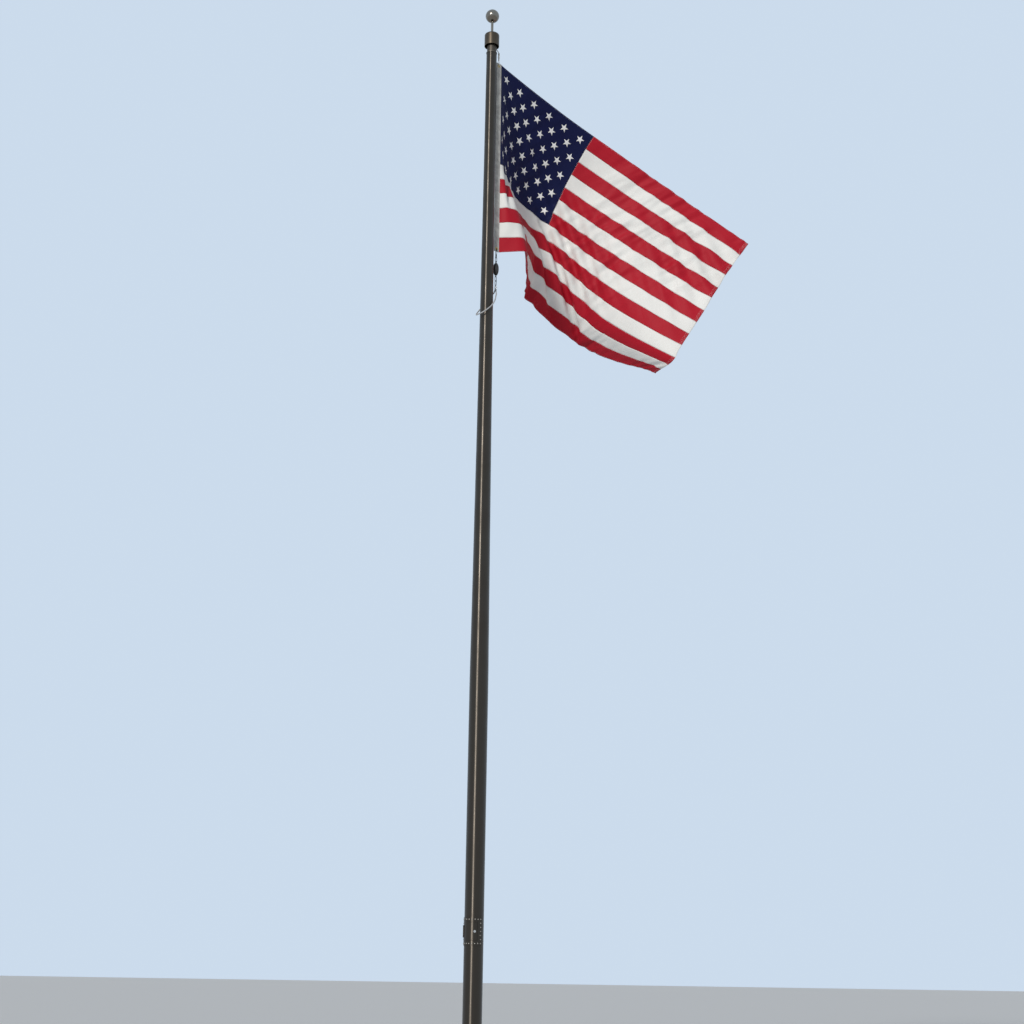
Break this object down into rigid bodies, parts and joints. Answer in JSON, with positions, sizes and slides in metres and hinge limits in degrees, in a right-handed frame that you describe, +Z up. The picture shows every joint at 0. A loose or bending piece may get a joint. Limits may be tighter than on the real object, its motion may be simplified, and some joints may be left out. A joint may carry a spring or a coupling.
{
  "type": "flagpole with internal halyard and flag",
  "caption": "Tapered tube flagpole with an access door, a revolving truck with ball finial, an internal halyard and a national flag held down by a counterweight and sling.",
  "frame": {"origin": "centre of the shaft's foot, on the ground", "axes": "+Z up the shaft; -Y towards the side that the picture shows, +X to its right, so the flag flies to +X and +Y"},
  "size_m": [2.1466, 1.4034, 7.9875],
  "materials": {
    "dark_bronze": "satin dark-bronze anodised aluminium",
    "bright_aluminium": "satin silver aluminium",
    "stainless_steel": "brushed stainless steel",
    "cast_aluminium": "plain cast aluminium",
    "braided_rope": "white braided polyester",
    "header_canvas": "off-white woven canvas",
    "blue_nylon": "dark blue woven nylon with stitched white stars",
    "red_nylon": "red woven nylon",
    "white_nylon": "white woven nylon",
    "brass_grommet": "weathered brass",
    "white_vinyl": "white vinyl coating",
    "grey_vinyl": "pale grey vinyl coating on cable",
    "dark_rubber": "dark rubber coating"
  },
  "bodies": {
    "pole": {"shaft_lower": "dark_bronze", "shaft_door_section": "dark_bronze", "shaft_upper": "dark_bronze", "ground_collar": "dark_bronze", "door_frame": "dark_bronze", "hinge_pin": "stainless_steel", "cleat_bracket": "cast_aluminium", "cleat_plate": "stainless_steel", "cleat_cams": "stainless_steel", "halyard_inside": "braided_rope", "top_sleeve": "bright_aluminium", "retaining_ring": "stainless_steel"},
    "door": {"door_leaf": "dark_bronze", "door_lock": "stainless_steel"},
    "truck": {"truck_body": "cast_aluminium", "sheave": "bright_aluminium", "sheave_pin": "stainless_steel", "truck_hood": "dark_bronze", "finial_spindle": "bright_aluminium", "finial_ball": "bright_aluminium", "halyard_drop": "braided_rope", "snap_top": "white_vinyl", "flag_header": "header_canvas", "grommets": "brass_grommet", "flag_canton": "blue_nylon", "red_stripes": "red_nylon", "white_stripes": "white_nylon", "snap_bottom": "dark_rubber", "counterweight": "dark_rubber", "weight_links": "stainless_steel", "sling_ferrule": "bright_aluminium", "retainer_sling": "grey_vinyl"}
  },
  "joints": [
    {"name": "door_hinge", "type": "hinge", "parent": "pole", "child": "door", "pos_m": [-0.06786, -0.01796, 1.25], "axis": [0, 0, -1], "range_deg": [0, 110]},
    {"name": "truck_revolve", "type": "hinge", "parent": "pole", "child": "truck", "pos_m": [0, 0, 7.65], "axis": [0, 0, 1], "continuous": true}
  ]
}
